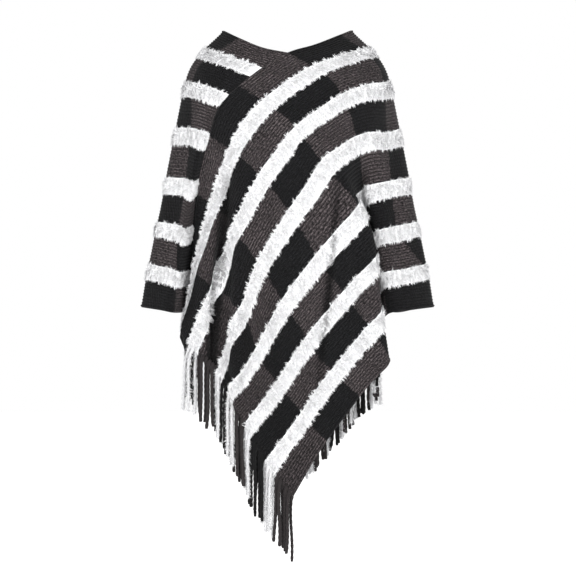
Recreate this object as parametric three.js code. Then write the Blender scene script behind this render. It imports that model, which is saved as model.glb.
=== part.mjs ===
// A knitted poncho sweater of two long panels, kept in the hollow form that it has when worn.
// Millimetres, +Z up, front facing -Y. The origin lies midway between the shoulder tops.
import * as THREE from "three";

// The cut: two alike panels, charted in blocks of the check.
const BLOCK = 116;
const BLOCKS_WIDE = 5;
const PANEL_WIDTH = BLOCKS_WIDE * BLOCK;
const SHORT_END = -1.5;
const FRINGED_END = 6.5;
const NECK_POINT = 1.5;

// The cloth: dark bands with plush stripes between them, across the panel's width.
const WALL = 3;
const SEAM_GAP = 0.3;
const DARK_BANDS = 7;
const DARK_BAND = 54;
const PLUSH_STRIPE = (PANEL_WIDTH - DARK_BANDS * DARK_BAND) / (DARK_BANDS - 1);
const PLUSH_RISE = 6;
const PLUSH_SHOULDER = 5;
const PLUSH_FLAT_AT_SEAM = 30;
const STEPS_ABOVE_SEAM = 12;
const SEAM_EASE = 0.5;
const NEARBY = 0.05;

// The fringe on each panel's long end.
const STRANDS = 64;
const STRAND_LENGTH = 130;
const STRAND_WIDTH = 5;
const STRAND_TIP_WIDTH = 4;
const STRIP_WIDTH = 5;
const STRIP_GAP = 0.8;
const KNEE = 12;
const LAYERS = [-6.5, 0, 6.5];

const BLACK_KNIT = new THREE.MeshStandardMaterial({ color: 0x28272a, roughness: 0.95, metalness: 0 });
const MIXED_YARN = new THREE.MeshStandardMaterial({ color: 0x5a5456, roughness: 0.95, metalness: 0 });

// The worn form of one panel, from behind the shoulder to the fringed end in front.
// A row is a line across the panel, s blocks from the shoulder line. Each of its columns x, y and z has the
// places of the points 0, 1, 2, 3, 4 and 5 blocks from the neck-side edge.
const WORN_LINES = [
  {
    s: -1.0,
    x: [51, 141, 172, 198, 214, 228],
    y: [80, 90, 74, 56, 48, 44],
    z: [-40, -99, -209, -343, -462, -573],
  },
  {
    s: -0.5,
    x: [98, 183, 194, 208, 232, 256],
    y: [46, 56, 54, 50, 49, 47],
    z: [-18, -85, -202, -336, -454, -568],
  },
  {
    s: 0.0,
    x: [129, 197, 227, 252, 276, 297],
    y: [0, 0, 0, 0, 0, 0],
    z: [0, -79, -200, -331, -444, -562],
  },
  {
    s: 0.5,
    x: [107, 185, 199, 211, 229, 252],
    y: [-42, -52, -52, -48, -47, -46],
    z: [-11, -82, -211, -338, -456, -567],
  },
  {
    s: 1.0,
    x: [55, 143, 169, 169, 190, 204],
    y: [-78, -88, -86, -62, -58, -54],
    z: [-34, -93, -211, -349, -463, -575],
  },
  {
    s: 1.5,
    x: [0, 94, 137, 158, 180, 190],
    y: [-98, -108, -104, -28, -16, -16],
    z: [-52, -114, -221, -358, -482, -600],
  },
  {
    s: 2.0,
    x: [-53, 47, 105, 143, 161, 169],
    y: [-104, -117, -118, -58, -24, -24],
    z: [-84, -145, -241, -375, -508, -640],
  },
  {
    s: 2.5,
    x: [-97, -3, 68, 160, 183, 203],
    y: [-97, -121, -122, -96, -92, -88],
    z: [-118, -184, -270, -389, -529, -670],
  },
  {
    s: 3.0,
    x: [-136, -41, 37, 118, 149, 183],
    y: [-86, -122, -124, -114, -110, -101],
    z: [-158, -229, -319, -435, -569, -697],
  },
  {
    s: 3.5,
    x: [-157, -76, 2, 72, 114, 160],
    y: [-68, -118, -125, -122, -116, -107],
    z: [-217, -277, -369, -487, -610, -721],
  },
  {
    s: 4.5,
    x: [-183, -128, -64, 4, 51, 112],
    y: [-42, -104, -121, -122, -119, -111],
    z: [-331, -381, -471, -573, -689, -783],
  },
  {
    s: 5.5,
    x: [-192, -181, -100, -53, 3, 61],
    y: [-7, -80, -112, -118, -117, -112],
    z: [-455, -501, -565, -669, -760, -855],
  },
  {
    s: 6.5,
    x: [-196, -212, -141, -108, -61, 11],
    y: [10, -56, -100, -104, -110, -106],
    z: [-571, -618, -689, -750, -843, -941],
  },
];

// The pleat between arm and body: the line named here runs along its edge. Beyond the third column that edge
// lies further along the panel, so the lines lean towards the fringed end there.
const ARM_FRONT = 1;
const PLEAT_EDGE = 2.5;
const LEAN_FROM = 3;
const LEAN = 0.5;

// The hanging folds of the front, each a soft trough or ridge that runs down the body.
const FOLDS = [
  { name: "left trough", xTop: -118, xBottom: -134, zTop: -300, zBottom: -760, halfWidth: 30, depth: 20 },
  { name: "hanging edge", xTop: -78, xBottom: -92, zTop: -380, zBottom: -860, halfWidth: 34, depth: -13 },
  { name: "middle trough", xTop: 62, xBottom: 72, zTop: -330, zBottom: -790, halfWidth: 42, depth: 11 },
];
const FOLD_END_SOFTNESS = 0.7;
const FOLD_SIDE_SOFTNESS = 1.6;

// The back hangs a little higher than the front towards its hem.
const BACK_LIFT = { slope: 0.4, ease: 40, yFrom: 0, yFull: 90, zFrom: -600 };

// The value at t of a smooth curve through the values at the knots.
function through(knots, values, t) {
  const last = knots.length - 1;
  let i = 0;
  while (i < last - 1 && t > knots[i + 1]) i += 1;
  const span = knots[i + 1] - knots[i];
  const slope = (k) => {
    const before = Math.max(k - 1, 0);
    const after = Math.min(k + 1, last);
    return (values[after] - values[before]) / (knots[after] - knots[before]);
  };
  const u = (t - knots[i]) / span;
  const rise = values[i + 1] - values[i];
  const start = slope(i) * span;
  const end = slope(i + 1) * span;
  return values[i] + u * (start + u * (3 * rise - 2 * start - end + u * (start + end - 2 * rise)));
}

const WIDTH_KNOTS = Array.from({ length: BLOCKS_WIDE + 1 }, (_, block) => block);
const turned = (point) => new THREE.Vector3(-point.x, -point.y, point.z);

// A point of the neck-side edge, s blocks from the shoulder line.
function neckSideEdge(s) {
  const knots = WORN_LINES.map((line) => line.s);
  const at = (axis) => through(knots, WORN_LINES.map((line) => line[axis][0]), s);
  return new THREE.Vector3(at("x"), at("y"), at("z"));
}

// The short end is sewn to the other panel's neck-side edge, below the neck point.
const seamPoint = (w) => turned(neckSideEdge(NECK_POINT + w));
const seamColumns = WIDTH_KNOTS.map(seamPoint);
const ALL_LINES = [
  {
    s: SHORT_END,
    x: seamColumns.map((p) => p.x),
    y: seamColumns.map((p) => p.y),
    z: seamColumns.map((p) => p.z),
  },
  ...WORN_LINES,
];
const LENGTH_KNOTS = ALL_LINES.map((line) => line.s);

// The line of the table that passes through s and w.
function lineAt(s, w) {
  const edge = PLEAT_EDGE + LEAN * Math.max(w - LEAN_FROM, 0);
  if (s <= ARM_FRONT) return s;
  if (s < edge) return ARM_FRONT + ((s - ARM_FRONT) * (PLEAT_EDGE - ARM_FRONT)) / (edge - ARM_FRONT);
  return FRINGED_END - ((FRINGED_END - s) * (FRINGED_END - PLEAT_EDGE)) / (FRINGED_END - edge);
}

function fromLines(s, w) {
  const line = lineAt(s, w);
  const at = (axis) => {
    const across = WIDTH_KNOTS.map((k) => through(LENGTH_KNOTS, ALL_LINES.map((row) => row[axis][k]), line));
    return through(WIDTH_KNOTS, across, w);
  };
  return new THREE.Vector3(at("x"), at("y"), at("z"));
}

// How far the folds move the front cloth back, at a place on it.
function foldDepth(point) {
  let depth = 0;
  for (const fold of FOLDS) {
    const down = (point.z - fold.zTop) / (fold.zBottom - fold.zTop);
    const x = fold.xTop + (fold.xBottom - fold.xTop) * down;
    const side = (point.x - x) / fold.halfWidth;
    const length = Math.sin(Math.PI * THREE.MathUtils.clamp(down, 0, 1)) ** FOLD_END_SOFTNESS;
    depth += fold.depth * length * Math.exp(-side * side * FOLD_SIDE_SOFTNESS);
  }
  return depth;
}

// The middle of the cloth at s and w blocks.
function clothPoint(s, w) {
  const point = fromLines(s, w);
  const toSeam = THREE.MathUtils.clamp((s - SHORT_END) / SEAM_EASE, 0, 1);
  if (toSeam < 1) {
    const miss = seamPoint(w).sub(fromLines(SHORT_END, w));
    point.addScaledVector(miss, (1 - toSeam) ** 2);
  }
  if (s > NECK_POINT && point.y < 0) point.y += foldDepth(point) * THREE.MathUtils.smoothstep(w, 0, 1);
  return point;
}

// The outward normal of the cloth at s and w blocks.
function clothNormal(s, w) {
  const s0 = Math.max(s - NEARBY, SHORT_END);
  const s1 = Math.min(s + NEARBY, FRINGED_END);
  const w0 = Math.max(w - NEARBY, 0);
  const w1 = Math.min(w + NEARBY, BLOCKS_WIDE);
  const along = clothPoint(s1, w).sub(clothPoint(s0, w));
  const across = clothPoint(s, w1).sub(clothPoint(s, w0));
  return along.cross(across).normalize();
}

// At a seam both panels end on one shared direction, so that their end faces lie side by side.
function seamNormal(w) {
  const onEdge = clothNormal(NECK_POINT + w, 0);
  const onEnd = turned(clothNormal(SHORT_END, w));
  return onEdge.add(onEnd).normalize();
}

// The places across the panel where its wall has points, with the height of the plush there.
function acrossPlaces() {
  const places = [];
  let w = 0;
  for (let band = 0; band < DARK_BANDS; band += 1) {
    places.push({ w, rise: 0 }, { w: w + DARK_BAND / 2, rise: 0 }, { w: w + DARK_BAND, rise: 0 });
    w += DARK_BAND;
    if (band === DARK_BANDS - 1) break;
    places.push({ w: w + PLUSH_SHOULDER, rise: PLUSH_RISE });
    places.push({ w: w + PLUSH_STRIPE - PLUSH_SHOULDER, rise: PLUSH_RISE });
    w += PLUSH_STRIPE;
  }
  return places.map((place) => ({ w: place.w / BLOCK, rise: place.rise }));
}

// The places across the panel where the two panels' walls share a point at the seam.
const seamPlaces = () => acrossPlaces().filter((place) => place.rise === 0).map((place) => place.w);

// The rows of points along the panel: even steps to the neck point, then the places of the seam.
function alongPlaces() {
  const step = (NECK_POINT - SHORT_END) / STEPS_ABOVE_SEAM;
  const above = Array.from({ length: STEPS_ABOVE_SEAM }, (_, i) => SHORT_END + i * step);
  return [...above, ...seamPlaces().map((w) => NECK_POINT + w)];
}

// A frame at w on the straight stretches between the frames at the given places.
function onStraights(w, places, frameAt) {
  const next = Math.max(places.findIndex((place) => place >= w), 1);
  const [before, after] = [places[next - 1], places[next]];
  const [a, b] = [frameAt(before), frameAt(after)];
  const share = (w - before) / (after - before);
  return { point: a.point.lerp(b.point, share), normal: a.normal.lerp(b.normal, share) };
}

// A point of the wall's middle and its normal, drawn back by half the gap at a seam.
function wallFrame(s, w) {
  if (s === SHORT_END) return onStraights(w, seamPlaces(), shortEndFrame);
  if (w > 0 || s < NECK_POINT) return { point: clothPoint(s, w), normal: clothNormal(s, w) };
  return seamFrame(clothPoint(s, 0), seamNormal(s - NECK_POINT), clothPoint(s, NEARBY));
}

function shortEndFrame(w) {
  return seamFrame(clothPoint(SHORT_END, w), turned(seamNormal(w)), clothPoint(SHORT_END + NEARBY, w));
}

function seamFrame(point, normal, inside) {
  const away = inside.sub(point);
  away.addScaledVector(normal, -away.dot(normal)).normalize();
  return { point: point.addScaledVector(away, SEAM_GAP / 2), normal };
}

// One panel's wall as a closed body, from a grid of points on its outer and inner faces.
function panelGeometry(turn) {
  const across = acrossPlaces();
  const along = alongPlaces();
  const rows = along.length;
  const columns = across.length;
  const edge = columns - 1;
  const positions = [];
  for (const s of along) {
    const flatten = THREE.MathUtils.smoothstep((s - SHORT_END) * BLOCK, 0, PLUSH_FLAT_AT_SEAM);
    for (const place of across) {
      const { point, normal } = wallFrame(s, place.w);
      const outer = point.clone().addScaledVector(normal, WALL / 2 + place.rise * flatten);
      const inner = point.clone().addScaledVector(normal, -WALL / 2);
      positions.push(...outer.toArray(), ...inner.toArray());
    }
  }
  const outer = (i, j) => 2 * (i * columns + j);
  const inner = (i, j) => outer(i, j) + 1;
  const index = [];
  const quad = (a, b, c, d) => index.push(a, c, b, a, d, c);
  for (let i = 0; i < rows - 1; i += 1) {
    for (let j = 0; j < columns - 1; j += 1) {
      quad(outer(i, j), outer(i, j + 1), outer(i + 1, j + 1), outer(i + 1, j));
      quad(inner(i, j), inner(i + 1, j), inner(i + 1, j + 1), inner(i, j + 1));
    }
    quad(outer(i, 0), outer(i + 1, 0), inner(i + 1, 0), inner(i, 0));
    quad(outer(i + 1, edge), outer(i, edge), inner(i, edge), inner(i + 1, edge));
  }
  for (let j = 0; j < columns - 1; j += 1) {
    quad(outer(0, j + 1), outer(0, j), inner(0, j), inner(0, j + 1));
    quad(outer(rows - 1, j), outer(rows - 1, j + 1), inner(rows - 1, j + 1), inner(rows - 1, j));
  }
  return bodyGeometry(positions, index, turn);
}

// A body in its place in the garment: turned with its panel, then lifted where it hangs behind. Each point
// is lifted as much as the place that holds it, so a strand keeps its length.
function bodyGeometry(positions, index, turn, heldAt = positions) {
  const geometry = new THREE.BufferGeometry();
  geometry.setAttribute("position", new THREE.Float32BufferAttribute(positions, 3));
  geometry.rotateZ(turn);
  const places = geometry.getAttribute("position");
  const facing = Math.cos(turn);
  for (let i = 0; i < places.count; i += 1) {
    places.setZ(i, places.getZ(i) + backLift(facing * heldAt[3 * i + 1], heldAt[3 * i + 2]));
  }
  geometry.setIndex(index);
  geometry.computeVertexNormals();
  return geometry;
}

function backLift(y, z) {
  const behind = THREE.MathUtils.smoothstep(y, BACK_LIFT.yFrom, BACK_LIFT.yFull);
  const below = Math.max(BACK_LIFT.zFrom - z, 0);
  return (behind * BACK_LIFT.slope * below * below) / (below + BACK_LIFT.ease);
}

// The four corners of a strand at a place, given its half width along the edge and its thickness.
function strandRing(centre, side, normal, halfWidth) {
  return [
    centre.clone().addScaledVector(side, -halfWidth).addScaledVector(normal, halfWidth),
    centre.clone().addScaledVector(side, halfWidth).addScaledVector(normal, halfWidth),
    centre.clone().addScaledVector(side, halfWidth).addScaledVector(normal, -halfWidth),
    centre.clone().addScaledVector(side, -halfWidth).addScaledVector(normal, -halfWidth),
  ];
}

// The strip that holds the strands, just clear of the cloth's end, with each strand grown from its low face.
function fringeGeometry(turn) {
  const positions = [];
  const index = [];
  const heldAt = [];
  const add = (point, holder = point) => {
    heldAt.push(...holder.toArray());
    return positions.push(...point.toArray()) / 3 - 1;
  };
  const quad = (a, b, c, d) => index.push(a, c, b, a, d, c);
  const pitch = BLOCKS_WIDE / STRANDS;
  const half = STRAND_WIDTH / 2 / BLOCK;
  const stations = [];
  for (let k = 0; k < STRANDS; k += 1) {
    const middle = (k + 0.5) * pitch;
    for (const w of [middle - half, middle + half]) stations.push(stripStation(w, add));
  }
  for (let k = 0; k < stations.length - 1; k += 1) {
    const a = stations[k];
    const b = stations[k + 1];
    quad(a.topOut, b.topOut, b.lowOut, a.lowOut);
    quad(a.topOut, a.topIn, b.topIn, b.topOut);
    quad(a.topIn, a.lowIn, b.lowIn, b.topIn);
    if (k % 2 === 1) quad(a.lowOut, b.lowOut, b.lowIn, a.lowIn);
    else addStrand(a, b, k / 2, add, quad);
  }
  const first = stations[0];
  const last = stations[stations.length - 1];
  quad(first.topOut, first.lowOut, first.lowIn, first.topIn);
  quad(last.topOut, last.topIn, last.lowIn, last.lowOut);
  return bodyGeometry(positions, index, turn, heldAt);
}

// The strip's four corners at one place across the panel.
function stripStation(w, add) {
  const places = acrossPlaces().map((place) => place.w);
  const endFrame = (s) => onStraights(w, places, (place) => wallFrame(s, place));
  const { point: end, normal } = endFrame(FRINGED_END);
  normal.normalize();
  const down = end.clone().sub(endFrame(FRINGED_END - NEARBY).point);
  down.addScaledVector(normal, -down.dot(normal)).normalize();
  const corner = (along, out) => end.clone().addScaledVector(down, along).addScaledVector(normal, out);
  const low = STRIP_GAP + STRIP_WIDTH;
  return {
    end,
    normal,
    down,
    topOut: add(corner(STRIP_GAP, WALL / 2)),
    topIn: add(corner(STRIP_GAP, -WALL / 2)),
    lowOut: add(corner(low, WALL / 2)),
    lowIn: add(corner(low, -WALL / 2)),
  };
}

// One strand: it leaves the strip square to the edge, moves to its own layer, then hangs straight down.
function addStrand(a, b, number, add, quad) {
  const root = a.end.clone().lerp(b.end, 0.5);
  const side = b.end.clone().sub(a.end).normalize();
  const normal = a.normal;
  const out = new THREE.Vector3().crossVectors(side, normal).normalize();
  if (out.dot(a.down) < 0) out.negate();
  const layer = LAYERS[number % LAYERS.length];
  const knee = root.clone().addScaledVector(out, KNEE).addScaledVector(normal, layer);
  const drop = new THREE.Vector3(0, 0, -STRAND_LENGTH);
  const level = new THREE.Vector3(side.x, side.y, 0).normalize();
  const square = new THREE.Vector3(0, 0, -1).cross(level).normalize();
  if (square.dot(normal) < 0) square.negate();
  const addHeld = (point) => add(point, root);
  const rings = [
    [a.lowOut, b.lowOut, b.lowIn, a.lowIn],
    strandRing(knee, side, normal, STRAND_WIDTH / 2).map(addHeld),
    strandRing(knee.clone().add(drop), level, square, STRAND_TIP_WIDTH / 2).map(addHeld),
  ];
  for (let r = 0; r < rings.length - 1; r += 1) {
    for (let c = 0; c < 4; c += 1) {
      const d = (c + 1) % 4;
      quad(rings[r][c], rings[r][d], rings[r + 1][d], rings[r + 1][c]);
    }
  }
  quad(...rings[rings.length - 1]);
}

const poncho = new THREE.Group();
const sides = [
  { side: "right", turn: 0 },
  { side: "left", turn: Math.PI },
];
for (const { side, turn } of sides) {
  const cloth = new THREE.Mesh(panelGeometry(turn), BLACK_KNIT);
  cloth.name = `panel_${side}`;
  const strands = new THREE.Mesh(fringeGeometry(turn), MIXED_YARN);
  strands.name = `fringe_${side}`;
  poncho.add(cloth, strands);
}

export default poncho;
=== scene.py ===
"""A knitted poncho sweater with checked bands, plush stripes and a yarn fringe, in its worn form.

Metres, +Z up, front facing -Y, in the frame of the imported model.
"""
import math

import bpy
import numpy as np
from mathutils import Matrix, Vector


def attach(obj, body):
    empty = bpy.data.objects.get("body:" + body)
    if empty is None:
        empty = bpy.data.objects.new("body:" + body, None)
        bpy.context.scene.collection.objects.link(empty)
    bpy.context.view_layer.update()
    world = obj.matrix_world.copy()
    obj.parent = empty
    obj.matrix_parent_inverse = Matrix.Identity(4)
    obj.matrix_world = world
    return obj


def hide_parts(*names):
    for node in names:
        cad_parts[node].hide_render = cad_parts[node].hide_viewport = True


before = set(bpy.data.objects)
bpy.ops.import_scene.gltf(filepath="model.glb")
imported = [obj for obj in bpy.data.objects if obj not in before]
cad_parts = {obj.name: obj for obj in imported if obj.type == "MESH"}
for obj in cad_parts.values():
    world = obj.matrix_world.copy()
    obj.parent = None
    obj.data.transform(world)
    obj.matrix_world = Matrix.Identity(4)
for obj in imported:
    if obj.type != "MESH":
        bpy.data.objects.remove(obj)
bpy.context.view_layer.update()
bpy.ops.object.select_all(action="DESELECT")

MM = 0.001

# The cut: two alike panels, charted in blocks of the check.
BLOCK = 116 * MM
BLOCKS_WIDE = 5
PANEL_WIDTH = BLOCKS_WIDE * BLOCK
SHORT_END = -1.5
FRINGED_END = 6.5
NECK_POINT = 1.5

# The bands across the panel: seven dark ones with six plush stripes between them.
DARK_BAND = 54 * MM
DARK_BANDS = 7
PLUSH_STRIPES = DARK_BANDS - 1
PLUSH_STRIPE = (PANEL_WIDTH - DARK_BANDS * DARK_BAND) / PLUSH_STRIPES
BAND_PITCH = DARK_BAND + PLUSH_STRIPE

# The knit: rows that run along the panel, each a rounded rib with its loops along it.
ROWS_PER_BAND = 9
KNIT_ROW = DARK_BAND / ROWS_PER_BAND
LOOP = 5.4 * MM
POINTS_PER_ROW = 4
POINTS_PER_STRIPE = 8
POINTS_ALONG = 117
CLOTH_HALF = 1.2 * MM
RIB_HALF = 0.8 * MM
RIM_HALF = 0.5 * MM

# How much of the ribs and of the edge's roll shows on the inner face.
INNER_SHARE = 0.5

# The thin roll along the panel's edges: its height, its middle and half width from the edge, and the
# places along the panel between which it begins.
EDGE_ROLL = 1.4 * MM
ROLL_MIDDLE = 3.5 * MM
ROLL_HALF = 2.6 * MM
ROLL_BEGINS = (-1.2, -0.9)

# The check. Its lines lie half a block from the shoulder line, and towards the cuff it is set nearer to
# that line. Blocks are counted from 100 before it, so that no count is below 0.
CHECK_START = 0.5
COUNT_FROM = 100
LAST_BLOCK = 6
CUFF_SHIFT = 0.46 * BLOCK
CUFF_ACROSS = (3.4 * BLOCK, 4.7 * BLOCK)
SLEEVE_ALONG = (1.2 * BLOCK, 2.5 * BLOCK)

# The plush: small fibres in tufts.
FIBRES_PER_STRIPE = 13500
FIBRES_PER_STRAND = 430
FIBRE_LENGTH = 10.5 * MM
FIBRE_WIDTH = 1.1 * MM
FIBRES_FROM = SHORT_END + 0.03
FIBRES_TO = FRINGED_END - 0.01
ROOT_SPREAD = 0.36
ROOT_LIFT = 0.6 * MM
TUFT_ALONG = 6 * MM
TUFT_ACROSS = 8 * MM
TUFTS_BEFORE = 40
TUFT_MIDDLE_SPREAD = 0.3

# How a fibre bends: the lower half rises from the cloth and the upper half lies over.
LOWER_RISE = 0.5
LOWER_LEAN = 0.9
LOWER_PART = 0.5
UPPER_RISE = 0.1
UPPER_PART = 0.55
OUT_AT_BEND = 0.55
POINTS_PER_FIBRE = 5

# Where the fibres lean: out over the stripe's edges, as their tuft does, towards its middle, and down.
LEAN_OUT = 0.95
LEAN_OUT_CURVE = 1.5
TUFT_LEAN_ACROSS = 0.5
TUFT_LEAN_ALONG = 0.75
TUFT_GATHER = 14 * MM
LEAN_SPREAD = 0.22
LEAN_DOWN = 0.4

# Near the seam the fibres are shorter.
SEAM_CLEAR = 25 * MM
SHORTEST = 0.35

# How fibres differ, from tuft to tuft and from one to the next, in length, twist, width and shade.
LENGTH_SHARE = 0.82
LENGTH_BY_TUFT = 0.22
LENGTH_SPREAD = 0.2
TWIST_SPREAD = 0.8
WIDTH_SHARES = (0.7, 1.2)
MIDDLE_SHADE = 0.5
SHADE_BY_TUFT = 0.4
SHADE_SPREAD = 0.35

# How much painted shade greys them deep in a fold.
PLUSH_FOLD_SHADE = 1.7

# What the random values of the stripes and of the fringes start from.
PLUSH_SEED = 100
FRINGE_SEED = 7

# The fringe.
STRANDS = 64
STRAND_LENGTH = 130 * MM
STRAND_RADIUS = 3.3 * MM
STRAND_STEPS = 53
STRAND_SIDES = 8

# A strand's root lies inside the cloth's end, below its face. Past the end it bends down, and the strands
# part into layers.
OUT_STEP = 0.06
STRAND_BEND = 11 * MM
ROOT_INSIDE = 9 * MM
ROOT_BELOW = 1.5 * MM
RUN_TO_EDGE = 6 * MM
STRAND_LAYERS = (-5 * MM, 0.5 * MM, 5.5 * MM)
LAYERS_PART = (3 * MM, 22 * MM)

# The two plies of the yarn.
TWIST_PITCH = 24 * MM
TWIST_DEPTH = 0.11

# How strands differ in length, layer and thickness, and how they sway to the side and ripple in and out.
LENGTH_CHANGES = (-7 * MM, 5 * MM)
LAYER_SPREAD = 0.8 * MM
THICKNESSES = (0.9, 1.08)
SWAY = 5 * MM
WAVE = 1.6 * MM
WAVE_TURNS = (4, 8)
RIPPLE = 1.4 * MM
RIPPLE_TURNS = (3, 7)
ANY_START = (0, 6)

# A strand is thicker at its knot and thinner at its two ends.
KNOT_PLACE = 9 * MM
KNOT_HALF = 9 * MM
KNOT_SWELL = 0.3
ROOT_THIN = 0.15
TIP_THIN = 0.8

# The core of a fluffy strand: its thickness, where fibres leave it, and its place in the plush's shades,
# which gives it some of the painted shade of the plush's roots.
CORE_SHARE = 0.85
CORE_REACH = 1.6 * MM
CORE_SHADE = (0.6, 0.3)

# The fibres round it: their lengths, where they begin, and how much they hang down, stand out and differ.
FLUFF_LENGTHS = (5 * MM, 9 * MM)
FLUFF_FROM_STEP = 2
FLUFF_DOWN = 0.75
FLUFF_OUT = 0.45
FLUFF_SPREAD = 0.25

# How far the strands at the fringe's rolled corner hang in behind it and to the side, and how soon.
CORNER_INWARD = 14 * MM
CORNER_BEHIND = 9 * MM
CORNER_OUTWARD = -12 * MM
CORNER_FALL = 0.35

# The worn form of one panel, in millimetres, from behind the shoulder to the fringed end in front.
# A row is a line across the panel: s, in blocks from the shoulder line, then the x, y and z of its points
# 0, 1, 2, 3, 4 and 5 blocks from the neck-side edge.
WORN_LINES = (
    (
        -1.0,
        (51, 141, 172, 198, 214, 228),
        (80, 90, 74, 56, 48, 44),
        (-40, -99, -209, -343, -462, -573),
    ),
    (
        -0.5,
        (98, 183, 194, 208, 232, 256),
        (46, 56, 54, 50, 49, 47),
        (-18, -85, -202, -336, -454, -568),
    ),
    (
        0.0,
        (129, 197, 227, 252, 276, 297),
        (0, 0, 0, 0, 0, 0),
        (0, -79, -200, -331, -444, -562),
    ),
    (
        0.5,
        (107, 185, 199, 211, 229, 252),
        (-42, -52, -52, -48, -47, -46),
        (-11, -82, -211, -338, -456, -567),
    ),
    (
        1.0,
        (55, 143, 169, 169, 190, 204),
        (-78, -88, -86, -62, -58, -54),
        (-34, -93, -211, -349, -463, -575),
    ),
    (
        1.5,
        (0, 94, 137, 158, 180, 190),
        (-98, -108, -104, -28, -16, -16),
        (-52, -114, -221, -358, -482, -600),
    ),
    (
        2.0,
        (-53, 47, 105, 143, 161, 169),
        (-104, -117, -118, -58, -24, -24),
        (-84, -145, -241, -375, -508, -640),
    ),
    (
        2.5,
        (-97, -3, 68, 160, 183, 203),
        (-97, -121, -122, -96, -92, -88),
        (-118, -184, -270, -389, -529, -670),
    ),
    (
        3.0,
        (-136, -41, 37, 118, 149, 183),
        (-86, -122, -124, -114, -110, -101),
        (-158, -229, -319, -435, -569, -697),
    ),
    (
        3.5,
        (-157, -76, 2, 72, 114, 160),
        (-68, -118, -125, -122, -116, -107),
        (-217, -277, -369, -487, -610, -721),
    ),
    (
        4.5,
        (-183, -124, -60, 4, 51, 112),
        (-42, -105, -121, -122, -119, -111),
        (-331, -381, -471, -573, -689, -783),
    ),
    (
        5.5,
        (-194, -168, -92, -53, 3, 61),
        (-7, -88, -113, -118, -117, -112),
        (-455, -505, -565, -669, -760, -855),
    ),
    (
        6.5,
        (-196, -212, -141, -108, -61, 11),
        (10, -56, -100, -104, -110, -106),
        (-571, -618, -689, -750, -843, -941),
    ),
)

# The pleat between arm and body: its edge leans towards the fringed end beyond the fourth column.
ARM_FRONT = 1
PLEAT_EDGE = 2.5
LEAN_FROM = 3
LEAN = 0.5

# The hanging folds and creases of the body, in millimetres. A row is one fold that runs down the cloth:
# its x at top and bottom, its z at top and bottom, its half width, and how far it goes in. The folds are in
# the solids too, and the creases are in this cloth alone.
FOLDS = (
    (-118, -134, -300, -760, 30, 20),
    (-78, -92, -380, -860, 34, -13),
    (62, 72, -330, -790, 42, 11),
)
CREASES = (
    (-121, -163, -285, -790, 13, 30),
    (-97, -104, -370, -900, 12, -13),
    (-168, -182, -260, -640, 15, -5),
    (-40, -18, -300, -880, 22, 4.5),
    (14, 24, -420, -900, 18, -4),
    (106, 58, -290, -760, 12, 13),
    (124, 92, -310, -720, 14, -6),
    (136, 158, -450, -700, 12, 4.5),
    (-10, 40, -150, -420, 30, -3),
    (60, 104, -170, -400, 20, 3.4),
    (206, 232, -300, -570, 10, 3.2),
    (228, 254, -250, -570, 11, -2.6),
)
FOLD_ENDS = 0.7
FOLD_SIDES = 1.6
CREASES_FROM = 0.2
CREASES_FULL = 0.8
FACES_FRONT = 0.1

# The depths, in millimetres, between which a crease turns from open cloth to a fold with painted shade.
DEEP_FOLD = (1, 13)

# Low swells of the cloth. A row is the height in millimetres, then two waves: how fast each one turns along
# and across the panel, and where it starts. The cloth is held flat at the seam and at the neck.
SWELLS = (
    (1.1, (2.1, 1.3, 0.4), (-0.9, 1.7, 1.1)),
    (0.55, (5.3, -3.1, 2.0), (2.6, 4.2, 0.7)),
)
HELD_EDGE = 0.6
SEAM_EASE = 0.5

# The back hangs a little higher than the front towards its hem, and the edge of its fringed corner is
# tucked in behind the front, in millimetres.
LIFT_SLOPE = 0.4
LIFT_EASE = 40
LIFT_BELOW = 600
LIFT_BEHIND = (0, 90)
TUCK = 18
TUCK_OUTSIDE = (140, 195)
TUCK_BEHIND = (-10, 25)
TUCK_BELOW = (500, 600)

WIDTH_KNOTS = np.arange(BLOCKS_WIDE + 1.0)
DOWN = np.array((0.0, 0.0, -1.0))


def curve_weights(knots, t):
    """How much each knot's value counts at each t, on a smooth curve through the values."""
    knots = np.asarray(knots, float)
    last = len(knots) - 1
    i = np.clip(np.searchsorted(knots, t, side="left") - 1, 0, last - 1)
    span = knots[i + 1] - knots[i]
    u = (t - knots[i]) / span
    weights = np.zeros((len(t), len(knots)))
    at = np.arange(len(t))
    weights[at, i] += 1 - 3 * u**2 + 2 * u**3
    weights[at, i + 1] += 3 * u**2 - 2 * u**3
    for knot, part in ((i, u - 2 * u**2 + u**3), (i + 1, u**3 - u**2)):
        before, after = np.maximum(knot - 1, 0), np.minimum(knot + 1, last)
        slope = part * span / (knots[after] - knots[before])
        weights[at, after] += slope
        weights[at, before] -= slope
    return weights


def turned(points):
    """The points half a turn about the upright axis."""
    return points * np.array((-1, -1, 1))


def placed(points, turn, holder=None):
    """A panel's points in the garment, each moved as much as the place that holds it."""
    holder = points if holder is None else np.broadcast_to(holder, points.shape)
    points, holder = (turned(points), turned(holder)) if turn else (points.copy(), holder)
    points[:, 2] += back_lift(holder / MM) * MM
    if turn:
        points[:, 0] -= back_tuck(holder / MM) * MM
    return points


def back_lift(place):
    """How far a place is lifted where it hangs behind, in millimetres."""
    below = np.maximum(-place[:, 2] - LIFT_BELOW, 0)
    return smooth_step(place[:, 1], *LIFT_BEHIND) * LIFT_SLOPE * below**2 / (below + LIFT_EASE)


def back_tuck(place):
    """How far a place at the back's fringed corner is tucked in, in millimetres."""
    outside = smooth_step(place[:, 0], *TUCK_OUTSIDE)
    behind = smooth_step(place[:, 1], *TUCK_BEHIND)
    return TUCK * outside * behind * smooth_step(-place[:, 2], *TUCK_BELOW)


WORN_KNOTS = np.array([row[0] for row in WORN_LINES])
WORN_POINTS = np.array([np.transpose(row[1:]) for row in WORN_LINES]) * MM


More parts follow.
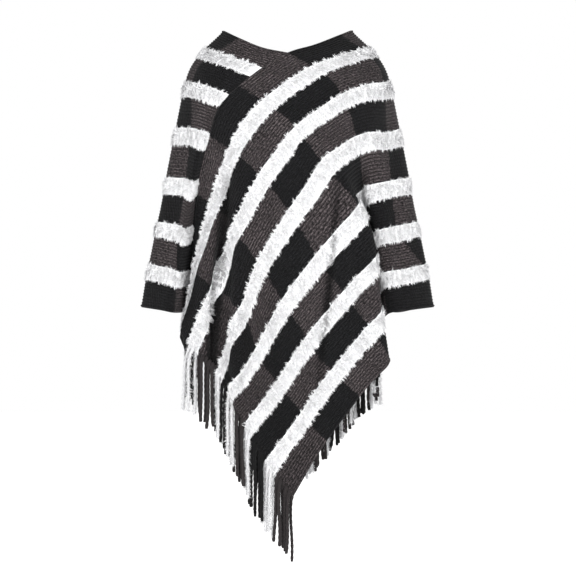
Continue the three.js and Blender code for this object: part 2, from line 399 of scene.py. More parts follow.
def neck_side_edge(s):
    """Points on the panel's neck-side edge."""
    return curve_weights(WORN_KNOTS, s) @ WORN_POINTS[:, 0]


def seam_point(w):
    """The short end is sewn to the other panel's neck-side edge, below the neck point."""
    return turned(neck_side_edge(NECK_POINT + w))


LINE_KNOTS = np.concatenate([[SHORT_END], WORN_KNOTS])
LINE_POINTS = np.concatenate([seam_point(WIDTH_KNOTS)[None], WORN_POINTS])


def line_at(s, w):
    """The line of the table that passes through s and w."""
    edge = PLEAT_EDGE + LEAN * np.maximum(w - LEAN_FROM, 0)
    near = ARM_FRONT + (s - ARM_FRONT) * (PLEAT_EDGE - ARM_FRONT) / (edge - ARM_FRONT)
    far = FRINGED_END - (FRINGED_END - s) * (FRINGED_END - PLEAT_EDGE) / (FRINGED_END - edge)
    return np.where(s <= ARM_FRONT, s, np.where(s < edge, near, far))


def from_lines(s, w):
    """The smooth surface through the table's points, at s and w blocks."""
    along = curve_weights(LINE_KNOTS, line_at(s, w))
    across = curve_weights(WIDTH_KNOTS, w)
    return np.einsum("ni,nj,ijk->nk", along, across, LINE_POINTS)


def fold_depth(points, folds):
    """How far the folds take the cloth in, at places on it."""
    depth = np.zeros(len(points))
    x, z = points[:, 0] / MM, points[:, 2] / MM
    for x_top, x_bottom, z_top, z_bottom, half_width, deep in folds:
        down = (z - z_top) / (z_bottom - z_top)
        side = (x - (x_top + (x_bottom - x_top) * down)) / half_width
        length = np.sin(np.pi * np.clip(down, 0, 1)) ** FOLD_ENDS
        depth += deep * MM * length * np.exp(-FOLD_SIDES * side * side)
    return depth


def smooth_step(value, low, high):
    """0 below low, 1 above high and a soft rise between them."""
    t = np.clip((value - low) / (high - low), 0, 1)
    return t * t * (3 - 2 * t)


def cloth_point(s, w):
    """The middle of the cloth at s and w blocks."""
    points = from_lines(s, w)
    to_seam = np.clip((s - SHORT_END) / SEAM_EASE, 0, 1)
    miss = seam_point(w) - from_lines(np.full_like(s, SHORT_END), w)
    points += miss * ((1 - to_seam) ** 2)[:, None]
    in_front = (s > NECK_POINT) & (points[:, 1] < 0)
    points[:, 1] += in_front * fold_depth(points, FOLDS) * smooth_step(w, 0, 1)
    return points


def cloth_normal(s, w):
    """Which way the cloth's outer face looks."""
    step = 0.02
    s0, s1 = np.maximum(s - step, SHORT_END), np.minimum(s + step, FRINGED_END)
    w0, w1 = np.maximum(w - step, 0), np.minimum(w + step, BLOCKS_WIDE)
    along = cloth_point(s1, w) - cloth_point(s0, w)
    across = cloth_point(s, w1) - cloth_point(s, w0)
    return unit(np.cross(along, across))


def unit(vectors):
    """The vectors at length 1."""
    return vectors / np.maximum(np.linalg.norm(vectors, axis=-1, keepdims=True), 1e-9)


def softness(s, w):
    """The low unevenness of hanging knitwear, apart from its named folds."""
    rise = np.zeros_like(s)
    for height, *waves in SWELLS:
        swell = height * MM
        for along, across, start in waves:
            swell = swell * np.sin(along * s + across * w + start)
        rise += swell
    return rise * smooth_step(s - SHORT_END, 0, HELD_EDGE) * smooth_step(w, 0, HELD_EDGE)


def crease_depth(s, w, points, normals):
    """How far the creases take the cloth in, which is in front alone and less near the neck."""
    in_front = (s > CREASES_FROM) * smooth_step(w, 0, CREASES_FULL) * (normals[:, 1] < FACES_FRONT)
    return in_front * fold_depth(points, CREASES)


def depth_in_fold(s, w):
    """0 on open cloth and 1 in the deepest folds, which get painted shade."""
    depth = crease_depth(s, w, cloth_point(s, w), cloth_normal(s, w))
    return smooth_step(depth / MM, *DEEP_FOLD)


def surface(s, w, lift):
    """Points over the cloth's middle at the given heights, with the normals there."""
    points, normals = cloth_point(s, w), cloth_normal(s, w)
    rise = lift + softness(s, w) - crease_depth(s, w, points, normals)
    return points + normals * rise[:, None], normals


def mesh_object(name, points, faces, uv, material):
    """A mesh of the points and faces, with uv for each point in the layer named cut."""
    mesh = bpy.data.meshes.new(name)
    mesh.vertices.add(len(points))
    mesh.vertices.foreach_set("co", np.ascontiguousarray(points, np.float32).ravel())
    mesh.loops.add(faces.size)
    mesh.loops.foreach_set("vertex_index", np.ascontiguousarray(faces, np.int32).ravel())
    mesh.polygons.add(len(faces))
    starts = np.arange(0, faces.size, faces.shape[1], dtype=np.int32)
    mesh.polygons.foreach_set("loop_start", starts)
    mesh.polygons.foreach_set("use_smooth", np.ones(len(faces), bool))
    mesh.materials.append(material)
    layer = mesh.uv_layers.new(name="cut")
    layer.data.foreach_set("uv", np.ascontiguousarray(uv[faces.ravel()], np.float32).ravel())
    mesh.update(calc_edges=True)
    mesh.validate()
    piece = bpy.data.objects.new(name, mesh)
    bpy.context.scene.collection.objects.link(piece)
    return piece


# Materials

BLACK_YARN = (0.0032, 0.0032, 0.0037)
BROWN_YARN = (0.036, 0.03, 0.031)
WHITE_YARN = (0.86, 0.86, 0.87)
# The plush is grey at its roots, which is painted shade between the fibres, and white at its tips.
SHADED_PLUSH_ROOT = (0.4, 0.4, 0.41)
PLUSH_TIP = (0.98, 0.98, 0.99)
PLUSH_TIP_CURVE = 0.9
# How much each tuft's random tone and the plush's painted shade deep in folds count.
TUFT_AND_FOLD_SHADE = 0.26

# Pale ends of fibre and specks of painted sheen on the dark yarn: their colour, how fine and rare they are,
# and how much they show.
LINT_AND_SHEEN = (0.16, 0.155, 0.16)
LINT_AND_SHEEN_SCALE = 900.0
LINT_AND_SHEEN_ENDS = (0.56, 0.72)
LINT_AND_SHEEN_SHARE = 0.24

# The loops along a knit row: how much they slant, how far each row is set off, and how uneven they are.
LOOP_SLANT = 0.7
LOOP_OFFSET = 0.37
LOOP_UNEVEN = 1.6
UNEVEN_SCALES = (60.0, 60.0)
ROW_NUMBERS = 20

# The edges of the blocks and of the white wander from row to row and blur in the fuzz.
ROW_WANDER = 1.7 * MM
BLUR = 2 * MM
BLUR_SCALE = 600.0
WHITE_WANDER = 2 * MM
WHITE_WANDER_SCALE = 220.0
WHITE_INSET = 1.5 * MM

# The dark yarn's shade: fine dashes along the rows, and broad clouds.
DASH_SCALES = (190.0, 620.0)
DASHES = 10.5
CLOUD_SCALE = 28.0
CLOUDS = 0.9
FLECK_BASE = -4.7
DARKEST = 0.1

# Painted shade of the knit's relief, darker in the grooves between rows and between loops. Patches where
# the rows stand out more and the flat shade between them counts less.
PATCH_SCALE = 11.0
PATCH_EDGES = (0.35, 0.65)
RIBS = 0.5
RIBS_IN_PATCH = 0.85
FLAT = 0.43
FLAT_IN_PATCH = -0.4
LOOPS = 0.15

# The painted shade deep in a fold, and the painted shade towards the fringe.
FOLD_SHADE = 0.85
LOW_SHADE = 0.28
LOW_ALONG = (4.2 * BLOCK, 6.4 * BLOCK)

# The fuzz of the yarn, and how high ribs and loops stand against it.
FINE = 3.0
KNIT_FUZZ_SCALE = 1100.0
RIB_HEIGHT = 0.5
LOOP_HEIGHT = 0.3
STRAND_FUZZ_SCALE = 700.0
STRAND_FUZZ = 1.8
STRAND_BASE = -0.42


def nodes_of(name):
    """A new material with its nodes and its main shader."""
    material = bpy.data.materials.new(name)
    material.use_nodes = True
    tree = material.node_tree
    return material, tree, tree.nodes["Principled BSDF"]


def maths(tree, operation, first, second=None, third=None):
    """One Math node; a number is set on the socket and a socket is linked to it."""
    node = tree.nodes.new("ShaderNodeMath")
    node.operation = operation
    for socket, value in zip(node.inputs, (first, second, third)):
        if isinstance(value, bpy.types.NodeSocket):
            tree.links.new(value, socket)
        elif value is not None:
            socket.default_value = value
    return node.outputs[0]


def mixed(tree, share, first, second):
    """A colour between two, by a share."""
    node = tree.nodes.new("ShaderNodeMix")
    node.data_type = "RGBA"
    tree.links.new(share, node.inputs[0])
    for socket, value in ((node.inputs[6], first), (node.inputs[7], second)):
        if isinstance(value, bpy.types.NodeSocket):
            tree.links.new(value, socket)
        else:
            socket.default_value = (*value, 1)
    return node.outputs[2]


def cut_place(tree):
    """The place on the flat cut, in metres: along the panel, and across it from the neck-side edge."""
    uv = tree.nodes.new("ShaderNodeUVMap")
    uv.uv_map = "cut"
    split = tree.nodes.new("ShaderNodeSeparateXYZ")
    tree.links.new(uv.outputs[0], split.inputs[0])
    return uv.outputs[0], split.outputs[0], split.outputs[1]


def noise(tree, place, scale, detail=2.0):
    """Soft noise of about 0 to 1; a larger scale makes it finer."""
    node = tree.nodes.new("ShaderNodeTexNoise")
    tree.links.new(place, node.inputs["Vector"])
    node.inputs["Scale"].default_value = scale
    node.inputs["Detail"].default_value = detail
    return node.outputs["Fac"]


def smooth(tree, value, low, high):
    """0 below low, 1 above high and a soft rise between them."""
    node = tree.nodes.new("ShaderNodeMapRange")
    node.interpolation_type = "SMOOTHSTEP"
    tree.links.new(value, node.inputs["Value"])
    node.inputs["From Min"].default_value = low
    node.inputs["From Max"].default_value = high
    return node.outputs["Result"]


def either_side(tree, share, reach):
    """A share from 0 to 1 as a length from one side of 0 to the other."""
    return maths(tree, "MULTIPLY_ADD", share, 2 * reach, -reach)


def every_other(tree, block, band, first_is_brown):
    count = maths(tree, "ADD", maths(tree, "ADD", block, band), 0.0 if first_is_brown else 1.0)
    return maths(tree, "MODULO", count, 2.0)


def check_share(tree, along, across, row, place, first_is_brown):
    """The blocks' edges wander from row to row."""
    ragged = tree.nodes.new("ShaderNodeTexWhiteNoise")
    ragged.noise_dimensions = "1D"
    tree.links.new(row, ragged.inputs["W"])
    wander = either_side(tree, ragged.outputs["Value"], ROW_WANDER)
    blur = either_side(tree, noise(tree, place, BLUR_SCALE), BLUR)
    cuff = smooth(tree, across, *CUFF_ACROSS)
    sleeve = maths(tree, "SUBTRACT", 1.0, smooth(tree, along, *SLEEVE_ALONG))
    moved = maths(tree, "MULTIPLY", maths(tree, "MULTIPLY", cuff, sleeve), CUFF_SHIFT)
    start = maths(tree, "ADD", maths(tree, "ADD", along, moved), maths(tree, "ADD", wander, blur))
    block = maths(tree, "FLOOR", maths(tree, "MULTIPLY_ADD", start, 1 / BLOCK, COUNT_FROM + CHECK_START))
    band = maths(tree, "FLOOR", maths(tree, "DIVIDE", across, BAND_PITCH))
    return every_other(tree, block, band, first_is_brown)


def plush_share(tree, across, place):
    """1 in the plush stripes and 0 in the dark bands."""
    within = maths(tree, "MODULO", across, BAND_PITCH)
    wander = either_side(tree, noise(tree, place, WHITE_WANDER_SCALE), WHITE_WANDER)
    edge = maths(tree, "ADD", within, wander)
    lower = maths(tree, "GREATER_THAN", edge, DARK_BAND + WHITE_INSET)
    upper = maths(tree, "LESS_THAN", edge, BAND_PITCH - WHITE_INSET)
    return maths(tree, "MULTIPLY", lower, upper)


def stretched_noise(tree, along, across, scales, detail=2.0):
    """Noise with a scale of its own along the rows and across them."""
    scaled_place = tree.nodes.new("ShaderNodeCombineXYZ")
    for socket, way, scale in zip(scaled_place.inputs, (along, across), scales):
        tree.links.new(maths(tree, "MULTIPLY", way, scale), socket)
    return noise(tree, scaled_place.outputs[0], 1.0, detail)


def knit_relief(tree, along, across):
    """The number of each row, its rounded section, and the slanting loops along it."""
    within = maths(tree, "MODULO", across, BAND_PITCH)
    in_rows = maths(tree, "DIVIDE", within, KNIT_ROW)
    band = maths(tree, "FLOOR", maths(tree, "DIVIDE", across, BAND_PITCH))
    row = maths(tree, "MULTIPLY_ADD", band, ROW_NUMBERS, maths(tree, "FLOOR", in_rows))
    in_row = maths(tree, "FRACT", in_rows)
    rib = maths(tree, "SINE", maths(tree, "MULTIPLY", in_row, math.pi))
    uneven = maths(tree, "MULTIPLY", stretched_noise(tree, along, across, UNEVEN_SCALES), LOOP_UNEVEN)
    offset = maths(tree, "MULTIPLY_ADD", row, LOOP_OFFSET, uneven)
    slant = maths(tree, "MULTIPLY_ADD", in_row, LOOP_SLANT, offset)
    turn = maths(tree, "ADD", maths(tree, "DIVIDE", along, LOOP), slant)
    loops = maths(tree, "SINE", maths(tree, "MULTIPLY", turn, 2 * math.pi))
    return row, rib, loops


def knit_shade(tree, along, across, place, rib, loops):
    """How light the dark yarn is: dashes and clouds of paler fibre, with painted shade between rows and
    loops.
    """
    dashes = stretched_noise(tree, along, across, DASH_SCALES, FINE)
    clouds = maths(tree, "MULTIPLY_ADD", noise(tree, place, CLOUD_SCALE, FINE), CLOUDS, FLECK_BASE)
    fleck = maths(tree, "MULTIPLY_ADD", dashes, DASHES, clouds)
    patches = smooth(tree, noise(tree, place, PATCH_SCALE), *PATCH_EDGES)
    # Painted shade of the relief: darker in the grooves between rows and between loops, lighter on their
    # ridges.
    ribbed = maths(tree, "MULTIPLY", rib, maths(tree, "MULTIPLY_ADD", patches, RIBS_IN_PATCH, RIBS))
    flat = maths(tree, "MULTIPLY_ADD", patches, FLAT_IN_PATCH, FLAT)
    relief_shade = maths(tree, "ADD", ribbed, maths(tree, "MULTIPLY_ADD", loops, LOOPS, flat))
    return maths(tree, "MAXIMUM", maths(tree, "MULTIPLY", fleck, relief_shade), DARKEST)


def knit_material(name, first_is_brown):
    """Chenille knit in black and brown blocks, white below the plush."""
    material, tree, shader = nodes_of(name)
    place, along, across = cut_place(tree)
    row, rib, loops = knit_relief(tree, along, across)
    black = check_share(tree, along, across, row, place, first_is_brown)
    dark = mixed(tree, black, BROWN_YARN, BLACK_YARN)
    shade = knit_shade(tree, along, across, place, rib, loops)
    # Painted shade deep in folds and towards the fringe.
    shade = maths(tree, "MULTIPLY", shade, painted_shade_factor(tree, along))
    shaded = with_lint_and_sheen(tree, scaled_colour(tree, dark, shade), place)
    colour = mixed(tree, plush_share(tree, across, place), shaded, WHITE_YARN)
    tree.links.new(colour, shader.inputs["Base Color"])
    fuzz = noise(tree, place, KNIT_FUZZ_SCALE, FINE)
    height = maths(tree, "MULTIPLY_ADD", rib, RIB_HEIGHT, fuzz)
    height = maths(tree, "MULTIPLY_ADD", loops, LOOP_HEIGHT, height)
    set_bump(tree, shader, height, strength=0.8, distance=1.2 * MM)
    set_finish(shader, roughness=0.95, specular=0.12, sheen=0.04)
    return material


def painted_shade_factor(tree, along):
    """Painted shade: 1 on open cloth, less deep in folds, where little light gets in, and towards the
    fringe.
    """
    fold = tree.nodes.new("ShaderNodeAttribute")
    fold.attribute_name = "fold"
    deep = maths(tree, "MULTIPLY_ADD", fold.outputs["Fac"], -FOLD_SHADE, 1.0)
    low = smooth(tree, along, *LOW_ALONG)
    return maths(tree, "MULTIPLY", deep, maths(tree, "MULTIPLY_ADD", low, -LOW_SHADE, 1.0))


def with_lint_and_sheen(tree, colour, place):
    """The dark yarn with pale ends of fibre and painted sheen that stand out of it here and there."""
    ends = smooth(tree, noise(tree, place, LINT_AND_SHEEN_SCALE), *LINT_AND_SHEEN_ENDS)
    return mixed(tree, maths(tree, "MULTIPLY", ends, LINT_AND_SHEEN_SHARE), colour, LINT_AND_SHEEN)


def scaled_colour(tree, colour, share):
    """A colour made darker or lighter by a share."""
    node = tree.nodes.new("ShaderNodeVectorMath")
    node.operation = "SCALE"
    tree.links.new(colour, node.inputs[0])
    tree.links.new(share, node.inputs["Scale"])
    return node.outputs[0]


def set_bump(tree, shader, height, strength, distance):
    """Fine relief from a height of about 0 to 1."""
    bump = tree.nodes.new("ShaderNodeBump")
    bump.inputs["Strength"].default_value = strength
    bump.inputs["Distance"].default_value = distance
    tree.links.new(height, bump.inputs["Height"])
    tree.links.new(bump.outputs[0], shader.inputs["Normal"])


def set_finish(shader, roughness, specular, sheen):
    """How the yarn takes the light."""
    shader.inputs["Roughness"].default_value = roughness
    shader.inputs["Specular IOR Level"].default_value = specular
    shader.inputs["Sheen Weight"].default_value = sheen


def yarn_material(name, first_is_brown):
    """The fringe's dark yarn, in the colour of the block that it hangs from."""
    material, tree, shader = nodes_of(name)
    _, _, across = cut_place(tree)
    band = maths(tree, "FLOOR", maths(tree, "DIVIDE", across, BAND_PITCH))
    black = every_other(tree, LAST_BLOCK, band, first_is_brown)
    dark = mixed(tree, black, BROWN_YARN, BLACK_YARN)
    coordinates = tree.nodes.new("ShaderNodeTexCoord")
    fuzz = noise(tree, coordinates.outputs["Object"], STRAND_FUZZ_SCALE, FINE)
    shaded = scaled_colour(tree, dark, maths(tree, "MULTIPLY_ADD", fuzz, STRAND_FUZZ, STRAND_BASE))
    tree.links.new(shaded, shader.inputs["Base Color"])
    set_bump(tree, shader, fuzz, strength=0.7, distance=0.9 * MM)
    set_finish(shader, roughness=0.9, specular=0.2, sheen=0.05)
    return material


def plush_material():
    """White feathery pile, with painted shade at its roots and deep in folds."""
    material, tree, shader = nodes_of("white_plush")
    _, tuft, out = cut_place(tree)
    root_shade_ramp = mixed(tree, maths(tree, "POWER", out, PLUSH_TIP_CURVE), SHADED_PLUSH_ROOT, PLUSH_TIP)
    # The first uv value is each fibre's random tone, less the painted shade deep in a fold.
    shaded = scaled_colour(tree, root_shade_ramp, maths(tree, "MULTIPLY_ADD", tuft, TUFT_AND_FOLD_SHADE, 1 - TUFT_AND_FOLD_SHADE))
    tree.links.new(shaded, shader.inputs["Base Color"])
    set_finish(shader, roughness=0.75, specular=0.25, sheen=0.15)
    return material


# The cloth


def places_across():
    """The places of the mesh's points across the panel, with each one's height on its rib from -1 to 1."""
    places, ribs = [], []
    for band in range(DARK_BANDS):
        start = band * BAND_PITCH
        count = ROWS_PER_BAND * POINTS_PER_ROW
        for k in range(count + 1):
            places.append(start + k * KNIT_ROW / POINTS_PER_ROW)
            ribs.append(-math.cos(2 * math.pi * k / POINTS_PER_ROW))
        if band == DARK_BANDS - 1:
            break
        for k in range(1, POINTS_PER_STRIPE):
            places.append(start + DARK_BAND + k * PLUSH_STRIPE / POINTS_PER_STRIPE)
            ribs.append(0.0)
    return np.array(places) / BLOCK, np.array(ribs)


def panel_lifts(s, w, rib):
    """Heights of the outer and inner faces over the cloth's middle."""
    to_edge = np.minimum(w, BLOCKS_WIDE - w) * BLOCK
    past_roll = (to_edge - ROLL_MIDDLE) / ROLL_HALF
    roll = EDGE_ROLL * np.exp(-past_roll * past_roll) * smooth_step(s, *ROLL_BEGINS)
    outer = CLOTH_HALF + RIB_HALF * rib + roll
    inner = -CLOTH_HALF - INNER_SHARE * (RIB_HALF * rib + roll)
    border = (s <= SHORT_END) | (s >= FRINGED_END) | (w <= 0) | (w >= BLOCKS_WIDE)
    return np.where(border, RIM_HALF, outer), np.where(border, -RIM_HALF, inner)


def panel_piece(name, material, turn):
    """One knitted panel as a thin closed shell with ribs of its own in the dark bands."""
    along = np.linspace(SHORT_END, FRINGED_END, POINTS_ALONG)
    across, ribs = places_across()
    across[-1] = BLOCKS_WIDE
    s, w = (grid.ravel() for grid in np.meshgrid(along, across, indexing="ij"))
    outer_lift, inner_lift = panel_lifts(s, w, np.tile(ribs, len(along)))
    outer, _ = surface(s, w, outer_lift)
    inner, _ = surface(s, w, inner_lift)
    points = placed(np.concatenate([outer, inner]), turn)
    uv = np.tile(np.stack([s * BLOCK, w * BLOCK], axis=1), (2, 1))
    panel = mesh_object(name, points, shell_faces(len(along), len(across)), uv, material)
    # Where the knit and its plush get painted shade deep in the folds.
    fold = panel.data.attributes.new("fold", "FLOAT", "POINT")
    fold.data.foreach_set("value", np.tile(depth_in_fold(s, w), 2).astype(np.float32))
    return panel


def shell_faces(rows, columns):
    """Quads of an outer grid, an inner grid after it, and the rim between them, facing out."""
    index = np.arange(rows * columns).reshape(rows, columns)
    a, b = index[:-1, :-1].ravel(), index[1:, :-1].ravel()
    c, d = index[1:, 1:].ravel(), index[:-1, 1:].ravel()
    outer = np.stack([a, b, c, d], axis=1)
    under = rows * columns
    inner = np.stack([a, d, c, b], axis=1) + under
    rims = []
    for line in (index[:, 0][::-1], index[0, :], index[:, -1], index[-1, :][::-1]):
        start, end = line[:-1], line[1:]
        rims.append(np.stack([start, end, end + under, start + under], axis=1))
    return np.concatenate([outer, inner, *rims])


# The plush


def stripe_middle(number):
    """The middle of a plush stripe, in blocks across the panel."""
    return (DARK_BAND + PLUSH_STRIPE / 2 + number * BAND_PITCH) / BLOCK


def spread(random, reach, count=None):
    """Random values from -reach to reach."""
    return random.uniform(-reach, reach, count)


def tuft_values(random, s, w):
    """Random values that all fibres of one tuft share, and how far each fibre is from its tuft's middle."""
    i = np.floor(s * BLOCK / TUFT_ALONG + TUFTS_BEFORE).astype(int)
    j = np.floor(w * BLOCK / TUFT_ACROSS).astype(int)
    j -= j.min()
    table = random.uniform(-1, 1, (i.max() + 1, j.max() + 1, 4))
    shared = table[i, j]
    middle = (i - TUFTS_BEFORE + 0.5 + TUFT_MIDDLE_SPREAD * shared[:, 3]) * TUFT_ALONG / BLOCK
    return shared, (middle - s) * BLOCK


def fibre_mesh(roots, normals, leans, lengths, widths, sides, shades):
    """Fibres as narrow curved blades: two points at the root, two at the middle and one at the tip."""
    rising = unit(normals * LOWER_RISE + leans * LOWER_LEAN)
    middle = roots + rising * (lengths * LOWER_PART)[:, None]
    tips = middle + unit(normals * UPPER_RISE + leans) * (lengths * UPPER_PART)[:, None]
    half = sides * (widths / 2)[:, None]
    points = np.stack([roots - half, roots + half, middle - half, middle + half, tips], axis=1)
    start = POINTS_PER_FIBRE * np.arange(len(roots))[:, None]
    blades = np.concatenate([start + np.array(c) for c in ((0, 1, 3), (0, 3, 2), (2, 3, 4))])
    out = np.tile((0.0, 0.0, OUT_AT_BEND, OUT_AT_BEND, 1.0), (len(roots), 1))
    uv = np.stack([np.repeat(shades[:, None], POINTS_PER_FIBRE, axis=1), out], axis=2)
    return points.reshape(-1, 3), blades, uv.reshape(-1, 2)


def fibre_leans(s, w, side, normals, shared, to_middle, random):
    """Which way the fibres of a stripe lean along the cloth."""
    step = 0.01
    across = unit(cloth_point(s, w + step) - cloth_point(s, w - step))
    along = unit(np.cross(across, normals))
    down = DOWN + normals * normals[:, 2:3]
    out = LEAN_OUT * np.sign(side) * np.abs(side) ** LEAN_OUT_CURVE
    to_side = out + TUFT_LEAN_ACROSS * shared[:, 0] + random.normal(0, LEAN_SPREAD, len(s))
    to_end = TUFT_LEAN_ALONG * shared[:, 1] + to_middle / TUFT_GATHER
    to_end += random.normal(0, LEAN_SPREAD, len(s))
    return across * to_side[:, None] + along * to_end[:, None] + down * LEAN_DOWN


def stripe_fibres(number, random):
    """The fibres of one plush stripe, which lean out over both of its edges and a little down."""
    count = FIBRES_PER_STRIPE
    s = random.uniform(FIBRES_FROM, FIBRES_TO, count)
    side = random.uniform(-1, 1, count)
    w = stripe_middle(number) + side * ROOT_SPREAD * PLUSH_STRIPE / BLOCK
    shared, to_middle = tuft_values(random, s, w)
    roots, normals = surface(s, w, np.full(count, ROOT_LIFT))
    leans = fibre_leans(s, w, side, normals, shared, to_middle, random)
    near_seam = smooth_step((s - SHORT_END) * BLOCK, 0, SEAM_CLEAR)
    lengths = LENGTH_SHARE + LENGTH_BY_TUFT * shared[:, 2] + spread(random, LENGTH_SPREAD, count)
    lengths *= FIBRE_LENGTH * (SHORTEST + (1 - SHORTEST) * near_seam)
    level = unit(np.cross(leans, normals))
    twist = spread(random, TWIST_SPREAD, count)[:, None]
    sides = unit(level * np.cos(twist) + normals * np.sin(twist))
    widths = FIBRE_WIDTH * random.uniform(*WIDTH_SHARES, count)
    shades = MIDDLE_SHADE + SHADE_BY_TUFT * shared[:, 2] + spread(random, SHADE_SPREAD, count)
    # Each fibre's random tone, less painted shade deep in a fold.
    shades = np.clip(shades, 0, 1) - PLUSH_FOLD_SHADE * depth_in_fold(s, w)
    return fibre_mesh(roots, normals, leans, lengths, widths, sides, shades)


def plush_piece(name, number, material, turn):
    """One plush stripe, with random values of its own."""
    random = np.random.default_rng(PLUSH_SEED + number + 10 * turn)
    points, faces, uv = stripe_fibres(number, random)
    return mesh_object(name, placed(points, turn), faces, uv, material)


# The fringe


def strand_is_plush(w):
    """Whether a strand hangs from a plush stripe."""
    return np.mod(w * BLOCK, BAND_PITCH) > DARK_BAND


def strand_path(w, number, random):
    """A strand's middle line: out of the cloth's end, over a soft bend, and straight down."""
    at, inside, across = np.array([FRINGED_END]), np.array([FRINGED_END - OUT_STEP]), np.array([w])
    end, normal = cloth_point(at, across), cloth_normal(at, across)[0]
    out = unit(end - cloth_point(inside, across))[0]
    length = STRAND_LENGTH + random.uniform(*LENGTH_CHANGES)
    t = np.linspace(0, 1, STRAND_STEPS)
    run = t * (length + RUN_TO_EDGE)
    bend = 1 - np.exp(-run / STRAND_BEND)
    heading = unit(out * (1 - bend)[:, None] + DOWN * bend[:, None])
    root = end[0] - out * ROOT_INSIDE - normal * ROOT_BELOW
    points = root + np.cumsum(heading, axis=0) * (run[1] - run[0])
    layer = STRAND_LAYERS[number % len(STRAND_LAYERS)] + spread(random, LAYER_SPREAD)
    level = unit(np.cross(normal, DOWN))
    wave = WAVE * t * np.sin(t * random.uniform(*WAVE_TURNS) + random.uniform(*ANY_START))
    sway = spread(random, SWAY) * t**2 + wave
    ripple = RIPPLE * t * np.sin(t * random.uniform(*RIPPLE_TURNS) + random.uniform(*ANY_START))
    points += corner_hang(w, t)
    points += level * sway[:, None]
    points += normal * (layer * smooth_step(run, *LAYERS_PART) + ripple)[:, None]
    return points, run, level, unit(np.cross(level, DOWN))


def corner_hang(w, t):
    """How the strands at the fringe's rolled corner hang: the dark ones in behind the white ones."""
    white_from, white_to = (BAND_PITCH + DARK_BAND) / BLOCK, 2 * BAND_PITCH / BLOCK
    falling = smooth_step(t, 0, CORNER_FALL)
    none = np.zeros_like(t)
    if w < white_from:
        return np.stack([CORNER_INWARD * falling, CORNER_BEHIND * falling, none], axis=1)
    share = max((white_to - w) / (white_to - white_from), 0)
    return np.stack([CORNER_OUTWARD * share * falling, none, none], axis=1)


def strand_tube(path, run, level, square, radius):
    """A two-ply yarn: a tube with two lobes that turn about its middle, closed at both ends."""
    turn = 2 * np.pi * run / TWIST_PITCH
    angles = 2 * np.pi * np.arange(STRAND_SIDES) / STRAND_SIDES
    lobes = 1 + TWIST_DEPTH * np.cos(2 * (angles[None] - turn[:, None]))
    thick = radius * (1 + KNOT_SWELL * np.exp(-((run - KNOT_PLACE) / KNOT_HALF) ** 2))
    thick[0] *= ROOT_THIN
    thick[-1] *= TIP_THIN
    reach = thick[:, None] * lobes
    ring = level * np.cos(angles)[:, None] + square * np.sin(angles)[:, None]
    points = path[:, None] + reach[..., None] * ring[None]
    index = np.arange(len(path) * STRAND_SIDES).reshape(len(path), STRAND_SIDES)
    nxt = np.roll(index, -1, axis=1)
    faces = np.stack([index[:-1], index[1:], nxt[1:], nxt[:-1]], axis=-1).reshape(-1, 4)
    caps = np.array([index[0, [0, 1, 2, 3]], index[0, [0, 3, 4, 7]], index[0, [4, 5, 6, 7]]])
    ends = np.array([index[-1, [3, 2, 1, 0]], index[-1, [7, 4, 3, 0]], index[-1, [7, 6, 5, 4]]])
    return points.reshape(-1, 3), np.concatenate([faces, caps, ends])


def joined(parts):
    """Several sets of points, faces and uv as one."""
    points, faces, uvs, start = [], [], [], 0
    for part_points, part_faces, part_uv in parts:
        points.append(part_points)
        faces.append(part_faces + start)
        uvs.append(part_uv)
        start += len(part_points)
    return np.concatenate(points), np.concatenate(faces), np.concatenate(uvs)


def fluffy_fibres(path, level, square, random):
    """Short fibres all round a plush strand."""
    count = FIBRES_PER_STRAND
    at = random.integers(FLUFF_FROM_STEP, len(path) - 1, count)
    angle = random.uniform(0, 2 * np.pi, count)[:, None]
    normals = level * np.cos(angle) + square * np.sin(angle)
    roots = path[at] + normals * CORE_REACH
    leans = DOWN * FLUFF_DOWN + normals * FLUFF_OUT + random.normal(0, FLUFF_SPREAD, (count, 3))
    sides = unit(np.cross(normals, leans))
    lengths = random.uniform(*FLUFF_LENGTHS, count)
    widths, shades = np.full(count, FIBRE_WIDTH), random.uniform(0, 1, count)
    return fibre_mesh(roots, normals, leans, lengths, widths, sides, shades)


def fringe_pieces(side, yarn, plush, turn):
    """One panel's fringe: twisted dark strands, and fluffy white ones below the plush stripes."""
    random = np.random.default_rng(FRINGE_SEED + turn)
    dark, white, fluff = [], [], []
    for number in range(STRANDS):
        w = (number + 0.5) / STRANDS * BLOCKS_WIDE
        path, run, level, square = strand_path(w, number, random)
        is_plush = strand_is_plush(w)
        radius = STRAND_RADIUS * (CORE_SHARE if is_plush else random.uniform(*THICKNESSES))
        points, faces = strand_tube(path, run, level, square, radius)
        uv = np.tile(CORE_SHADE if is_plush else (FRINGED_END * BLOCK, w * BLOCK), (len(points), 1))
        (white if is_plush else dark).append((placed(points, turn, path[0]), faces, uv))
        if is_plush:
            points, faces, uv = fluffy_fibres(path, level, square, random)
            fluff.append((placed(points, turn, path[0]), faces, uv))
    pieces = []
    groups = (("yarn", dark, yarn), ("white_core", white, plush), ("white_fluff", fluff, plush))
    for name, parts, material in groups:
        points, faces, uv = joined(parts)
        pieces.append(mesh_object(f"fringe_{name}_{side}", points, faces, uv, material))
    return pieces


def dress(side, turn, first_is_brown, plush):
    """One panel with its plush and fringe, in place of its two solids."""
    knit = knit_material(f"knit_{side}", first_is_brown)
    yarn = yarn_material(f"yarn_{side}", first_is_brown)
    panel = panel_piece(f"knitted_panel_{side}", knit, turn)
    pile = [plush_piece(f"plush_{side}_{number}", number, plush, turn) for number in range(PLUSH_STRIPES)]
    fringe = fringe_pieces(side, yarn, plush, turn)
    for piece in (panel, *pile):
        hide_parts(f"panel_{side}")
    for piece in fringe:
        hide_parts(f"fringe_{side}")
    for piece in (panel, *pile, *fringe):
        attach(piece, "root")


# The studio

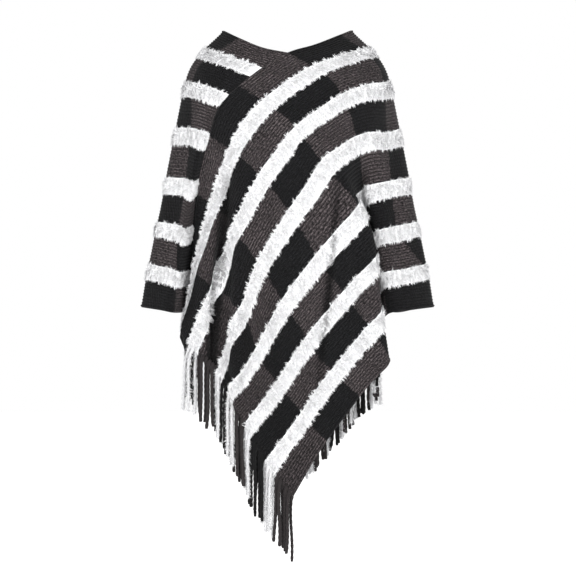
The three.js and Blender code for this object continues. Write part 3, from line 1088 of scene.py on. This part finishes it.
FLOOR = -1.45
FLOOR_RADIUS = 16.0
FLOOR_GREY = 0.93
SURROUND = 0.3
WHITE = (1, 1, 1, 1)

# A row is one lamp: its name, its place, its watts and its size in metres.
LAMPS = (
    ("key", (1.5, -3.3, 1.6), 128, 1.2),
    ("fill", (-2.0, -3.4, 0.6), 92, 1.5),
    ("back", (0.9, 3.6, 1.4), 90, 1.8),
)
LAMPS_AIM = (0, 0, -0.45)

# The camera stands far off, level with the middle of the picture.
CAMERA_PLACE = (0.001, -6.0, -0.523)
FRONT_OF_CLOTH = 0.1
PICTURE_WIDTH = 1.152
SENSOR = 36


def studio_floor():
    """A plain pale floor, well below the garment and wide enough for any view."""
    place = (0, 0, FLOOR)
    bpy.ops.mesh.primitive_circle_add(vertices=64, radius=FLOOR_RADIUS, fill_type="NGON", location=place)
    floor = bpy.context.object
    floor.name = "studio_floor"
    material, _, shader = nodes_of("pale_studio")
    shader.inputs["Base Color"].default_value = (FLOOR_GREY, FLOOR_GREY, FLOOR_GREY, 1)
    shader.inputs["Roughness"].default_value = 0.9
    shader.inputs["Emission Color"].default_value = WHITE
    shader.inputs["Emission Strength"].default_value = 1.0
    floor.data.materials.append(material)


def studio_light():
    """A white surround that gives only dim light, so that folds keep their shade, and three soft lamps."""
    world = bpy.data.worlds.new("studio")
    world.use_nodes = True
    tree = world.node_tree
    seen = tree.nodes.new("ShaderNodeLightPath").outputs["Is Camera Ray"]
    strength = maths(tree, "MULTIPLY_ADD", seen, 1 - SURROUND, SURROUND)
    tree.links.new(strength, tree.nodes["Background"].inputs["Strength"])
    tree.nodes["Background"].inputs["Color"].default_value = WHITE
    bpy.context.scene.world = world
    for lamp in LAMPS:
        soft_lamp(*lamp)


def soft_lamp(name, place, watts, size):
    """A square lamp turned towards the garment."""
    bpy.ops.object.light_add(type="AREA", location=place)
    lamp = bpy.context.object
    lamp.name = name
    lamp.data.energy = watts
    lamp.data.size = size
    aim = Vector(LAMPS_AIM) - lamp.location
    lamp.rotation_euler = aim.to_track_quat("-Z", "Y").to_euler()


def photograph_camera():
    """A long lens, with the photograph's width as the picture's width at the front of the cloth."""
    bpy.ops.object.camera_add(location=CAMERA_PLACE, rotation=(math.pi / 2, 0, 0))
    camera = bpy.context.object
    camera.data.sensor_width = SENSOR
    camera.data.lens = SENSOR * (-CAMERA_PLACE[1] - FRONT_OF_CLOTH) / PICTURE_WIDTH
    bpy.context.scene.camera = camera


photograph_camera()
studio_floor()
studio_light()
bpy.context.scene.view_settings.view_transform = "Standard"
white_plush = plush_material()
dress("right", turn=False, first_is_brown=True, plush=white_plush)
dress("left", turn=True, first_is_brown=False, plush=white_plush)
